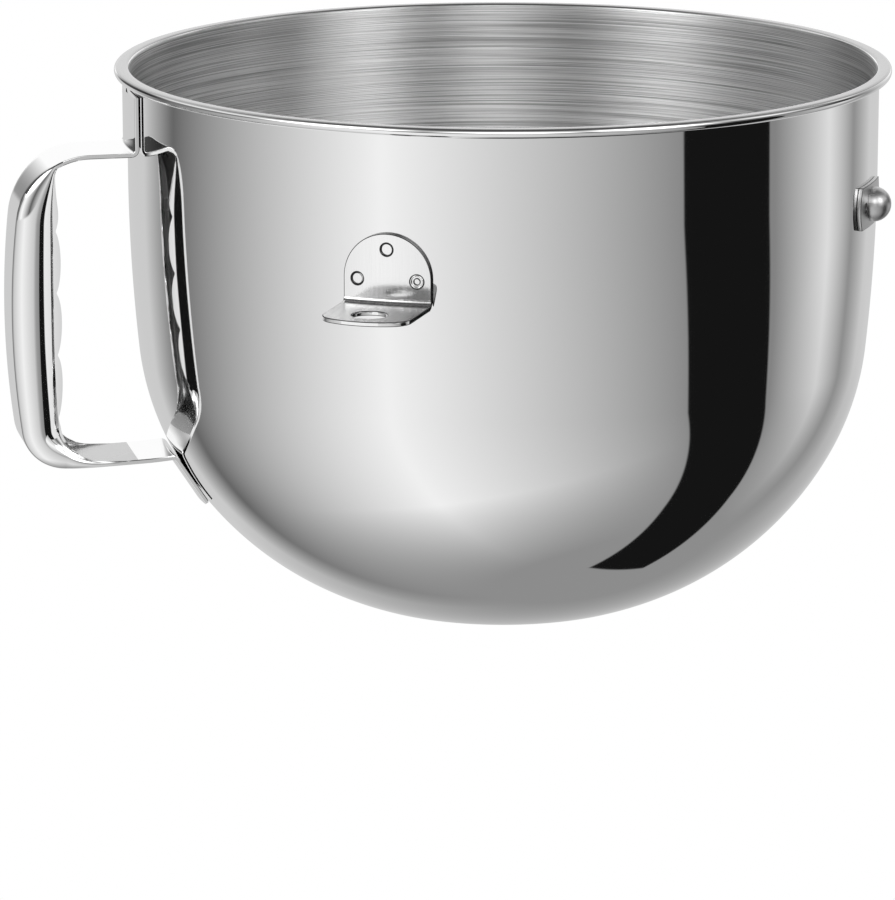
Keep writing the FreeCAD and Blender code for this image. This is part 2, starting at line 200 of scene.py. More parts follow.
class Nodes:
    """Short hand for building one node tree."""

    def __init__(self, tree: bpy.types.NodeTree) -> None:
        """Args: the tree that is built."""
        self.tree = tree

    def add(self, kind: str, settings: Optional[Dict[str, object]] = None,
            sockets: Optional[Dict[object, object]] = None) -> bpy.types.Node:
        """Adds a node.

        Args: the node's type without its Shader prefix, its settings, with a ramp's stops as
            (place, grey), and its inputs, by name or index, as values or links.
        Returns: the node.
        """
        node = self.tree.nodes.new("ShaderNode" + kind)
        for name, value in (settings or {}).items():
            if name == "stops":
                self._set_stops(node.color_ramp.elements, value)
            else:
                setattr(node, name, value)
        for name, value in (sockets or {}).items():
            if isinstance(value, Value):
                value = value.socket
            if isinstance(value, bpy.types.NodeSocket):
                self.tree.links.new(value, node.inputs[name])
            else:
                node.inputs[name].default_value = value
        return node

    @staticmethod
    def _set_stops(ramp: bpy.types.ColorRampElements,
                   stops: Sequence[Tuple[float, float]]) -> None:
        """Args: a ramp's elements, and (place, grey) from 0 to 1 that they get."""
        for place, grey in stops:
            stop = ramp[0] if place <= 0 else ramp[-1] if place >= 1 else ramp.new(place)
            stop.position = place
            stop.color = (grey, grey, grey, 1)

    def value(self, socket: bpy.types.NodeSocket) -> Value:
        """A socket as a value that sums can use."""
        return Value(self.tree, socket)

    def span(self, value: Value, source: Tuple[float, float],
             target: Tuple[float, float] = (0.0, 1.0), soft: bool = False) -> Value:
        """Carries a value from one range to another and keeps it inside.

        Args: the value, the two ranges, and whether the ends are eased.
        Returns: the new value.
        """
        kind = "SMOOTHSTEP" if soft else "LINEAR"
        ends = {"Value": value, "From Min": source[0], "From Max": source[1],
                "To Min": target[0], "To Max": target[1]}
        return self.value(self.add("MapRange", {"interpolation_type": kind}, ends).outputs["Result"])

    def blend(self, share: Value, first: object, second: object) -> bpy.types.NodeSocket:
        """Mixes two colours.

        Args: the second one's share, and the two, each a colour socket or a grey.
        Returns: the colour socket.
        """
        ends = [(c, c, c, 1.0) if isinstance(c, float) else c for c in (first, second)]
        mix = self.add("Mix", {"data_type": "RGBA"}, {0: share, 6: ends[0], 7: ends[1]})
        return mix.outputs[2]


class SteelShop:
    """Makes the procedural steel materials."""

    HAZE_SCALE = 22.0
    UPRIGHT_STRETCH = 60.0       # changes per metre along upright brush lines
    TURNED_STRETCH = 1.4         # changes per radian along turned brush lines
    LINE_BUMP = 0.0002           # metres

    def __init__(self) -> None:
        """Starts with no material made."""
        self.made: Dict[str, bpy.types.Material] = {}

    def get(self, finish: SteelFinish) -> bpy.types.Material:
        """Args: finish, the steel wanted. Returns: its material, made once."""
        if finish.name not in self.made:
            self.made[finish.name] = self._make(finish)
        return self.made[finish.name]

    def _make(self, finish: SteelFinish) -> bpy.types.Material:
        """Args: finish, the steel. Returns: a new material of it."""
        material = bpy.data.materials.new(finish.name)
        material.use_nodes = True
        nodes = Nodes(material.node_tree)
        shader = material.node_tree.nodes["Principled BSDF"]
        shader.inputs["Metallic"].default_value = 1.0
        shader.inputs["Base Color"].default_value = (*[finish.grey] * 3, 1.0)
        shader.inputs["Roughness"].default_value = finish.roughness
        place = nodes.add("TexCoord").outputs["Object"]
        if finish.polish is Polish.WIPED:
            haze = nodes.add("TexNoise", sockets={"Vector": place, "Scale": self.HAZE_SCALE,
                                                  "Detail": 3.0})
            self._vary(nodes, shader, nodes.value(haze.outputs["Fac"]), finish, (0.0, 1.0))
        else:
            self._brush(nodes, shader, place, finish)
        return material

    @staticmethod
    def _vary(nodes: Nodes, shader: bpy.types.Node, pattern: Value, finish: SteelFinish,
              source: Tuple[float, float]) -> None:
        """Lets the roughness follow a pattern.

        Args: the nodes, the steel's shader, the pattern, the finish and the pattern's range.
        """
        half = finish.spread / 2
        rough = nodes.span(pattern, source, (finish.roughness - half, finish.roughness + half))
        nodes.tree.links.new(rough.socket, shader.inputs["Roughness"])

    def _brush(self, nodes: Nodes, shader: bpy.types.Node, place: bpy.types.NodeSocket,
               finish: SteelFinish) -> None:
        """Draws fine lines, with the long highlights across them that they give.

        Args: the nodes, the steel's shader, the place on the object and the finish.
        """
        apart = nodes.add("SeparateXYZ", sockets={"Vector": place}).outputs
        x, y, z = (nodes.value(apart[name]) for name in "XYZ")
        fine = 1.0 / (finish.line_pitch * MM)
        if finish.polish is Polish.TURNED:
            flat = nodes.add("CombineXYZ", sockets={"X": x, "Y": y}).outputs[0]
            length = nodes.add("VectorMath", {"operation": "LENGTH"}, {0: flat})
            radius = nodes.value(length.outputs["Value"])
            slow = self.TURNED_STRETCH / radius
            strip = {"X": x * slow, "Y": y * slow, "Z": (z - radius) * fine}
        else:
            strip = {"X": x * self.UPRIGHT_STRETCH, "Y": y * fine, "Z": z * self.UPRIGHT_STRETCH}
        vector = nodes.add("CombineXYZ", sockets=strip).outputs[0]
        noise = nodes.add("TexNoise", sockets={"Vector": vector, "Scale": 1.0, "Detail": 4.0,
                                               "Roughness": 0.65})
        lines = nodes.value(noise.outputs["Fac"])
        self._vary(nodes, shader, lines, finish, (0.3, 0.7))
        dark = finish.grey * (1 - finish.line_tone)
        tone = nodes.blend(nodes.span(lines, (0.36, 0.6)), dark, finish.grey)
        nodes.tree.links.new(tone, shader.inputs["Base Color"])
        bump = nodes.add("Bump", sockets={"Strength": finish.line_depth,
                                          "Distance": self.LINE_BUMP, "Height": lines})
        nodes.tree.links.new(bump.outputs["Normal"], shader.inputs["Normal"])
        shader.inputs["Anisotropic"].default_value = finish.anisotropic
        if finish.polish is Polish.TURNED:
            shader.inputs["Anisotropic Rotation"].default_value = 0.25
            tangent = nodes.add("Tangent", {"direction_type": "RADIAL", "axis": "Z"})
            nodes.tree.links.new(tangent.outputs["Tangent"], shader.inputs["Tangent"])


# drawing and pieces
class Track:
    """Straights and tangent bends in the XZ plane, sampled as points with headings."""

    def __init__(self, start: Tuple[float, float], heading: float) -> None:
        """Args: the first point, and the heading there in degrees."""
        self.at = Vector(start)
        self.to = heading
        self.stops: List[Tuple[Vector, float]] = [(self.at.copy(), heading)]

    @staticmethod
    def unit(angle: float) -> Vector:
        """The direction of an angle in degrees."""
        return Vector((math.cos(math.radians(angle)), math.sin(math.radians(angle))))

    def straight(self, length: float, step: float = 2.0) -> "Track":
        """Goes straight on, with a stop about every step.

        Args: how far it goes, and the distance between its stops.
        Returns: the track.
        """
        count = max(1, round(length / step))
        start = self.at.copy()
        for i in range(1, count + 1):
            self.at = start + self.unit(self.to) * (length * i / count)
            self.stops.append((self.at.copy(), self.to))
        return self

    def turn(self, radius: float, degrees: float, per: float = 6.0) -> "Track":
        """Bends left by positive degrees or right by negative ones.

        Args: the bend's radius and angle, and the most degrees between its stops.
        Returns: the track.
        """
        side = 90 if degrees > 0 else -90
        centre = self.at + self.unit(self.to + side) * radius
        count = max(2, math.ceil(abs(degrees) / per))
        first = self.to
        for i in range(1, count + 1):
            self.to = first + degrees * i / count
            self.at = centre - self.unit(self.to + side) * radius
            self.stops.append((self.at.copy(), self.to))
        return self

    def offset(self, left: float) -> List[Vector]:
        """The stops, moved to the track's left."""
        return [at + self.unit(to + 90) * left for at, to in self.stops]


def sharpen(mesh: bmesh.types.BMesh, degrees: float) -> None:
    """Marks edges that turn by more than this as sharp, so the rest shades smoothly.

    Args: the mesh and the angle.
    """
    limit = math.radians(degrees)
    for edge in mesh.edges:
        if len(edge.link_faces) == 2 and edge.calc_face_angle(0.0) > limit:
            edge.smooth = False


class Piece:
    """A mesh of the object that rides on the root body and may stand for CAD nodes."""

    def __init__(self, name: str, mesh: bmesh.types.BMesh,
                 materials: Sequence[bpy.types.Material], replaces: Sequence[str] = ()) -> None:
        """Args: the piece's name, its mesh in metres, its materials and the nodes it replaces."""
        data = bpy.data.meshes.new(name)
        mesh.to_mesh(data)
        mesh.free()
        for material in materials:
            data.materials.append(material)
        for face in data.polygons:
            face.use_smooth = True
        self.obj = bpy.data.objects.new(name, data)
        bpy.context.scene.collection.objects.link(self.obj)
        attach(self.obj, "root")
        if replaces:
            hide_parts(*replaces)
        LOG.info("%s: %d faces", name, len(data.polygons))


# the bowl
@dataclass(frozen=True)
class Bowl:
    """The drawn bowl: one sheet from the flat base to the rolled rim."""

    sheet: float = 0.9
    wall_r: float = 121.5
    straight_h: float = 33.4
    bends: Tuple[Tuple[float, float], ...] = (          # radius, degrees, from the base up
        (30.0, 20.0), (106.0, 42.3), (88.0, 22.0), (580.0, 5.7))
    rim_out: float = 4.05
    rim_h: float = 2.9
    flare_r: float = 0.4
    curl_gap: float = 0.4
    rim_z: float = 176.615
    steps: int = 320             # round the bowl
    edge_round: float = 0.3      # of the sheet, how far its cut edge stands out

    def base_radius(self) -> float:
        """Radius of the bowl's flat underside."""
        reach, turned = 0.0, 0.0
        for radius, degrees in self.bends:
            after = turned + degrees
            reach += radius * (math.sin(math.radians(after)) - math.sin(math.radians(turned)))
            turned = after
        return self.wall_r - reach

    def level(self, drop: float) -> float:
        """Height of something that is this far below the rim."""
        return self.rim_z - drop

    def wall_at(self, height: float) -> Tuple[Vector, float]:
        """Finds a place on the outside wall.

        Args: height, above the base's underside.
        Returns: the point there, and the wall's heading.
        """
        at, turned = Vector((self.base_radius(), 0.0)), 0.0
        for radius, degrees in self.bends:
            centre = at + Track.unit(turned + 90) * radius
            turned += degrees
            at = centre - Track.unit(turned + 90) * radius
            if height <= at.y:
                here = math.degrees(math.acos((centre.y - height) / radius))
                return centre - Track.unit(here + 90) * radius, here
        return Vector((self.wall_r, height)), 90.0

    def track(self) -> Track:
        """Outside of the bowl from the middle of the base to the turned-in edge of the rim."""
        track = Track((0.0, 0.0), 0.0).straight(self.base_radius(), 6.0)
        for radius, degrees in self.bends:
            track.turn(radius, degrees, 1.0 if radius < 200 else 0.5)
        track.straight(self.straight_h, 2.4).turn(self.flare_r, -90, 15)
        flat = self.wall_r + self.rim_out - self.rim_h / 2 - track.at.x
        track.straight(flat, 1.0).turn(self.rim_h / 2 - self.sheet, -180, 9)
        return track.straight(track.at.x - self.wall_r - self.curl_gap, 1.0)

    def outline(self) -> List[Vector]:
        """Section of the sheet, outside first, from the axis round the rim and back."""
        track = self.track()
        outside = [at for at, _ in track.stops]
        inside = track.offset(self.sheet)
        tip = (outside[-1] + inside[-1]) / 2 + Track.unit(track.to) * (self.sheet * self.edge_round)
        outline = outside + [tip] + inside[::-1]
        outline[0].x = outline[-1].x = 0.0
        return outline

    def mesh(self) -> bmesh.types.BMesh:
        """The section turned once round Z, with its poles merged. Returns: the mesh, in metres."""
        mesh = bmesh.new()
        verts = [mesh.verts.new((p.x * MM, 0.0, p.y * MM)) for p in self.outline()]
        edges = [mesh.edges.new(pair) for pair in zip(verts, verts[1:])]
        bmesh.ops.spin(mesh, geom=verts + edges, cent=(0, 0, 0), axis=(0, 0, 1),
                       angle=math.tau, steps=self.steps, use_merge=True)
        bmesh.ops.remove_doubles(mesh, verts=mesh.verts, dist=1e-7)
        bmesh.ops.recalc_face_normals(mesh, faces=mesh.faces)
        return mesh

    def steel_of(self, face: bmesh.types.BMFace) -> int:
        """Which steel a face gets.

        Args: face, one of the mesh's faces.
        Returns: 0, the mirror outside; 1, the brushed inside; 2, the top of the rim, in darker steel
        as painted shade.
        """
        middle = face.calc_center_median() / MM
        radial = Vector((middle.x, middle.y, 0)).normalized()
        inward = face.normal.z - face.normal.dot(radial)
        if middle.z > self.rim_z - 1.0 and face.normal.z > 0.7:
            return 2
        return 1 if inward > 0 and Vector(middle.xy).length < self.wall_r - 0.7 else 0

    def dress(self, shop: SteelShop) -> None:
        """Makes the bowl's piece. Args: shop, for its steels."""
        mesh = self.mesh()
        for face in mesh.faces:
            face.material_index = self.steel_of(face)
        Piece("bowl", mesh, [shop.get(steel) for steel in (MIRROR, BRUSHED, SHADED_RIM_TOP)], ("bowl_shell",))


# the handle
@dataclass
class StrapHandle:
    """The handle as a sheet section carried along its track, opening into the rolled grip."""

    bowl: Bowl
    turned_to: float = -60.4     # degrees from +X, seen from above
    strap_t: float = 1.4
    strap_w: float = 25.4
    reach: float = 41.0          # wall to the grip's face at its fullest
    tab_drop: float = 5.5
    arm_drop: float = 23.2
    foot_drop: float = 125.6
    foot_rise: float = 2.0       # degrees
    grip_mid_drop: float = 76.0
    bow_r: float = 276.0
    top_corner_r: float = 24.0
    foot_corner_r: float = 14.0
    tab_bend_r: float = 1.2
    lower_tab_drop: float = 132.7
    lower_tab_l: float = 14.2
    weld_standoff: float = 0.25
    wrap_fade: float = 9.0       # along the arm, until it is flat again

    grip_arcs: Tuple[Tuple[float, float], ...] = (      # flank: radius, degrees
        (2.0, 46.0), (10.5, 36.0), (2.3, 20.0), (11.5, 42.0))
    grip_flat: float = 8.5       # half of the grip's flat outer face
    lobe_l: float = 5.5          # sheet beyond the roll at a scallop's crest
    notch_l: float = 0.9         # and in a notch
    lobe_turn: float = 12.0      # degrees by which a scallop bends further in
    palm_depth: float = 14.1     # outer face to the end of the roll
    palm_top_r: float = 6.0
    palm_foot_r: float = 14.0
    scallop_pitch: float = 20.3
    first_notch_drop: float = 48.25
    notches: int = 4
    last_lobe: float = 0.35      # how far the cut-off lobe under the last notch comes out
    edge_r: float = 0.25         # rounding of the plain strap's edges
    inner_flat_in: float = 2.2   # the plain strap's side to its inner flat face
    lip_swell: float = 0.32      # of the sheet, how round its cut edge is
    crease: Tuple[float, float] = (0.35, 0.86)   # of the upper corner's radius, outwards

    face_x: float = field(init=False)
    arm_z: float = field(init=False)

    def __post_init__(self) -> None:
        """Works out the places that the track is drawn from."""
        bowl = self.bowl
        self.face_x = bowl.wall_r + self.weld_standoff + self.strap_t
        self.arm_z = bowl.level(self.arm_drop)
        self.bow = Vector((bowl.wall_r + self.reach - self.bow_r, bowl.level(self.grip_mid_drop)))
        rise = (self.reach - self.foot_corner_r) * math.tan(math.radians(self.foot_rise))
        self.foot = Vector((bowl.wall_r, bowl.level(self.foot_drop) + rise))
        self.top_c = self._corner(self.top_corner_r, Vector((bowl.wall_r, self.arm_z)), 0.0)
        self.foot_c = self._corner(self.foot_corner_r, self.foot, -self.foot_rise)
        self.track, self.marks = self._track()

    def _corner(self, radius: float, point: Vector, angle: float) -> Vector:
        """Centre of a corner that touches a straight and runs into the bow from inside.

        Args: the corner's radius, and a point and the angle of the straight.
        Returns: the centre.
        """
        along, inward = Track.unit(angle), Track.unit(angle + 90)
        if inward.dot(self.bow - point) < 0:
            inward = -inward
        base = point + inward * radius - self.bow
        half_b = base.dot(along)
        root = math.sqrt(half_b ** 2 - base.dot(base) + (self.bow_r - radius) ** 2)
        return self.bow + base + along * (root - half_b)

    def _track(self) -> Tuple[Track, Tuple[int, int]]:
        """Outer face of the strap. Returns: it, and the stops where the arms begin and end."""
        top_turn = math.degrees(math.asin(
            (self.top_c.y - self.bow.y) / (self.bow_r - self.top_corner_r)))
        foot_turn = math.degrees(math.asin(
            (self.bow.y - self.foot_c.y) / (self.bow_r - self.foot_corner_r)))
        track = Track((self.face_x, self.bowl.level(self.tab_drop)), -90.0)
        track.straight(self.arm_drop - self.tab_drop - self.tab_bend_r, 1.5)
        track.turn(self.tab_bend_r, 90, 15)
        first = len(track.stops)
        track.straight(self.top_c.x - track.at.x, 1.5)
        track.turn(self.top_corner_r, top_turn - 90, 2.0)
        track.turn(self.bow_r, -top_turn - foot_turn, 0.12)
        track.turn(self.foot_corner_r, foot_turn - 90 - self.foot_rise, 3.0)

        # the lower tab lies along the wall, and the arm runs until it meets that line
        seat, wall_to = self.bowl.wall_at(self.bowl.level(self.lower_tab_drop))
        face = seat + Track.unit(wall_to - 90) * (self.weld_standoff + self.strap_t)
        across, down = Track.unit(track.to), Track.unit(wall_to + 180)
        gap = face - track.at
        run = (gap.x * down.y - gap.y * down.x) / (across.x * down.y - across.y * down.x)
        crossing = track.at + across * run
        bend = wall_to + self.foot_rise
        bend_run = self.tab_bend_r * math.tan(math.radians(bend / 2))
        track.straight(run - bend_run, 1.5)
        last = len(track.stops)
        track.turn(self.tab_bend_r, bend, 12)
        track.straight((face - crossing).length + self.lower_tab_l / 2 - bend_run, 1.5)
        return track, (first, last)

    def palm_line(self) -> List[Vector]:
        """Line where the roll ends, from the upper arm down the grip and into the lower arm."""
        x = self.bowl.wall_r + self.reach - self.palm_depth
        line = Track((self.bowl.wall_r - 10, self.arm_z - self.strap_t / 2), 0.0)
        line.straight(x - self.palm_top_r - line.at.x).turn(self.palm_top_r, -90, 6)
        arm_to = Track.unit(-180 + self.foot_rise)
        middle = self.foot + Track.unit(90 - self.foot_rise) * (self.strap_t / 2)
        cross_y = middle.y + (x - middle.x) / arm_to.x * arm_to.y
        short = self.palm_foot_r * math.tan(math.radians((90 - self.foot_rise) / 2))
        line.straight(line.at.y - cross_y - short, 2.0)
        line.turn(self.palm_foot_r, self.foot_rise - 90, 4).straight(40.0, 4.0)
        return [at for at, _ in line.stops]

    @staticmethod
    def depth_to(line: Sequence[Vector], at: Vector, inward: Vector) -> float:
        """Distance from a point to a line.

        Args: the line's points, the point and the direction in which it looks.
        Returns: the distance, or 0 where the point is past the line.
        """
        best = 99.0
        for a, b in zip(line, line[1:]):
            step = b - a
            cross = inward.x * step.y - inward.y * step.x
            if abs(cross) < 1e-9:
                continue
            gap = a - at
            t = (gap.x * step.y - gap.y * step.x) / cross
            u = (gap.x * inward.y - gap.y * inward.x) / cross
            if -1e-6 <= u <= 1 + 1e-6 and abs(t) < abs(best):
                best = t
        return max(0.0, best)

    def lobe(self, height: float) -> float:
        """How much sheet stands beyond the roll: full at a crest, little in a notch.

        Args: height, above the base's underside.
        Returns: the length of sheet.
        """
        steps = (self.bowl.rim_z - height - self.first_notch_drop) / self.scallop_pitch
        if steps < -0.5:
            share = 1.0
        elif steps > self.notches - 1:
            share = min(self.last_lobe, (steps - self.notches + 1) * 0.9)
        else:
            share = 1 - (2 * (steps % 1.0) - 1) ** 2
        return self.notch_l + (self.lobe_l - self.notch_l) * share ** 0.8

    def grip_half(self, lobe: float) -> Tuple[List[Vector], List[Vector]]:
        """Half of the grip's section.

        Args: lobe, the sheet beyond the roll.
        Returns: the outer and the inner line, as (side, depth below the face).
        """
        track = Track((0.0, 0.0), 0.0)
        track.straight(self.grip_flat, self.grip_flat / 5)
        for radius, degrees in self.grip_arcs:
            track.turn(radius, -degrees, 5.0)
        turned = self.lobe_turn * lobe / self.lobe_l
        track.turn(self.lobe_l / math.radians(self.lobe_turn), -turned, turned / 5.9)
        outer = [Vector((at.x, -at.y)) for at, _ in track.stops]
        inner = [Vector((at.x, -at.y)) for at in track.offset(-self.strap_t)]
        return outer, inner

    def strap_half(self, count: int) -> Tuple[List[Vector], List[Vector]]:
        """Half of the plain strap's section.

        Args: count, the number of points of the grip's lines, which it gets too.
        Returns: the outer and the inner line, as (side, depth below the face).
        """
        half, small, thick = self.strap_w / 2, self.edge_r, self.strap_t
        face, corner = 6, 5
        outer = [Vector(((half - small) * i / (face - 1), 0.0)) for i in range(face)]
        for i in range(1, corner + 1):
            angle = math.radians(90 * i / corner)
            outer.append(Vector((half - small + small * math.sin(angle),
                                 small - small * math.cos(angle))))
        rest = count - len(outer)
        outer += [Vector((half, small + (thick - 2 * small) * (i + 1) / rest))
                  for i in range(rest)]
        side = half - self.inner_flat_in
        inner = [Vector((side * i / (face - 1), thick)) for i in range(face)]
        rest = count - face
        inner += [Vector((side + (half - small - side) * (i + 1) / rest, thick))
                  for i in range(rest)]
        return outer, inner

    def section(self, share: float, lobe: float) -> List[Vector]:
        """Closed section of the sheet.

        Args: how far it has opened from plain strap (0) to full grip (1), and the sheet
            beyond the roll.
        Returns: its points, from the middle of the outer face round and back.
        """
        grip_out, grip_in = self.grip_half(lobe)
        flat_out, flat_in = self.strap_half(len(grip_out))
        outer = [a.lerp(b, share) for a, b in zip(flat_out, grip_out)]
        inner = [a.lerp(b, share) for a, b in zip(flat_in, grip_in)]
        across = outer[-1] - inner[-1]
        bulge = Vector((-across.y, across.x)) * (self.lip_swell if share > 0.02 else 0.0)
        lip = [outer[-1].lerp(inner[-1], part) + bulge * swell
               for part, swell in ((0.15, 0.55), (0.5, 1.0), (0.85, 0.55))]
        half = outer + lip + inner[::-1]
        return half + [Vector((-p.x, p.y)) for p in half[::-1][1:-1]]

    def wrap(self, stop: int, side: float) -> Vector:
        """How far a tab's sides are bent back, so that the tab follows the round wall.

        Args: the stop on the track, and the distance from the strap's middle.
        Returns: the way back, in the track's plane.
        """
        first, last = self.marks
        at = self.track.stops[stop][0]
        if stop < (first + last) // 2:
            run = (at - self.track.stops[first][0]).length if stop >= first else 0.0
            towards, radius = Vector((-1, 0)), self.bowl.wall_r
        else:
            run = (at - self.track.stops[last][0]).length if stop < last else 0.0
            towards, radius = Track.unit(self.track.to - 90), self.track.stops[-1][0].x
        share = max(0.0, 1 - run / self.wrap_fade)
        return towards * (side ** 2 / (2 * radius) * share ** 2 * abs(towards.x))

    def creased(self, ring: Sequence[Vector]) -> bool:
        """Whether the strap's edge is pressed into the grip at this ring, where its shoulder is
        painted near black as shade.
        """
        reach = (ring[0].x - self.top_c.x) / self.top_corner_r
        return self.crease[0] < reach < self.crease[1] and ring[0].z > self.top_c.y

    def rings(self) -> List[List[Vector]]:
        """The section at each stop of the track. Returns: rings of points, in mm."""
        line = self.palm_line()
        first, last = self.marks
        flat = self.strap_t * 0.8        # as deep as this, the strap is still plain
        rings = []
        for i, (at, to) in enumerate(self.track.stops):
            inward = Track.unit(to - 90)
            share, lobe = 0.0, self.notch_l
            if first <= i < last:
                depth = self.depth_to(line, at, inward)
                share = min(1.0, max(0.0, (depth - flat) / (self.palm_depth - flat)))
                lobe = self.lobe((at + inward * self.palm_depth * share).y)
            ring = []
            for p in self.section(share, lobe):
                spot = at + inward * p.y + self.wrap(i, p.x)
                ring.append(Vector((spot.x, p.x, spot.y)))
            rings.append(ring)
        return rings

    def mesh(self) -> bmesh.types.BMesh:
        """Skins the rings and turns them to the handle's place. Returns: the mesh, in metres."""
        rings = self.rings()
        mesh = bmesh.new()
        place = Matrix.Rotation(math.radians(self.turned_to), 4, "Z") @ Matrix.Scale(MM, 4)
        made = [[mesh.verts.new(place @ p) for p in ring] for ring in rings]
        count = len(made[0])
        first, last = self.marks
        hollow = range(count // 4 + 2, count - count // 4 - 2)
        shoulder = range(5, 15)
        for i, (low, high) in enumerate(zip(made, made[1:])):
            for k in range(count):
                n = (k + 1) % count
                face = mesh.faces.new((low[k], low[n], high[n], high[k]))
                # faces inside the strap and the roll get the darker steel, painted shade
                if k in hollow and first + 8 < i < last - 8:
                    face.material_index = 1
                # the crease's shoulder gets the near black steel, a painted shade line
                elif min(k, count - 1 - k) in shoulder and self.creased(rings[i]):
                    face.material_index = 2
        mesh.faces.new(made[0])
        mesh.faces.new(made[-1][::-1])
        bmesh.ops.recalc_face_normals(mesh, faces=mesh.faces)
        return mesh

    def dress(self, shop: SteelShop) -> None:
        """Makes the handle's piece. Args: shop, for its steels."""
        mesh = self.mesh()
        sharpen(mesh, 35)
        # the last two steels paint shade: the darker inside and the near black crease line
        steels = [shop.get(steel) for steel in (MIRROR, SHADED_HOLLOW, SHADE_AND_WELD_DARK)]
        Piece("strap_handle", mesh, steels, ("handle",))


# the welded parts
@dataclass(frozen=True)
class WeldedPart:
    """A small part, finished from its CAD solid with softened edges and true normals."""

    node: str
    softening: float
    steels: Tuple[SteelFinish, ...]      # the softened edges' one last

    def steel_of(self, at: Vector, normal: Vector) -> int:
        """Which steel a face gets, by its middle in mm and its normal, which are not used here: every
        face gets the first.
        """
        return 0

    def mesh(self, frame: dict) -> bmesh.types.BMesh:
        """Merges the node's triangles and softens its edges.

        Args: frame, with the node.
        Returns: the mesh, in metres.
        """
        mesh = bmesh.new()
        mesh.from_mesh(frame["nodes"][self.node].data)
        bmesh.ops.remove_doubles(mesh, verts=mesh.verts, dist=2e-6)
        bmesh.ops.dissolve_degenerate(mesh, edges=mesh.edges, dist=2e-6)
        for face in mesh.faces:
            face.material_index = self.steel_of(face.calc_center_median() / MM, face.normal)
        corners = [edge for edge in mesh.edges
                   if len(edge.link_faces) == 2 and edge.calc_face_angle(0.0) > math.radians(40)]
        # the softened edges get the last steel; where that is the near black one, it paints a shade
        # line along them
        bmesh.ops.bevel(mesh, geom=corners, offset=self.softening * MM, offset_type="OFFSET",
                        segments=3, profile=0.5, affect="EDGES", clamp_overlap=False,
                        material=len(self.steels) - 1)
        sharpen(mesh, 28)
        return mesh

    @staticmethod
    def true_normals(data: bpy.types.Mesh) -> None:
        """Gives flat faces their own normal and upright plates the one across the bowl's axis.

        Args: data, the mesh, whose softened edges have the last of two or more steels.
        """
        edge_steel = len(data.materials) - 1
        normals = [Vector()] * len(data.loops)
        for face in data.polygons:
            if 0 < edge_steel == face.material_index:
                continue
            across = Vector((face.center.x, face.center.y, 0)).normalized()
            lean = face.normal.dot(across)
            for loop in face.loop_indices:
                at = data.vertices[data.loops[loop].vertex_index].co
                if abs(face.normal.z) > 0.99:
                    normals[loop] = face.normal.copy()
                elif abs(lean) > 0.985 and abs(face.normal.z) < 0.02:
                    normals[loop] = Vector((at.x, at.y, 0)).normalized() * math.copysign(1.0, lean)
        data.normals_split_custom_set(normals)

    def dress(self, frame: dict, shop: SteelShop) -> None:
        """Makes the part's piece. Args: the frame, and the shop for its steels."""
        steels = [shop.get(steel) for steel in self.steels]
        piece = Piece(self.node + "_steel", self.mesh(frame), steels, (self.node,))
        self.true_normals(piece.obj.data)


@dataclass(frozen=True)
class WeldRing:
    """A fine ring that a spot weld left on a bracket's plate."""

    aside: float                 # from the plate's middle
    drop: float                  # from the bracket's top
    radius: float
    wire: float                  # how far the ring stands out
    steel: SteelFinish


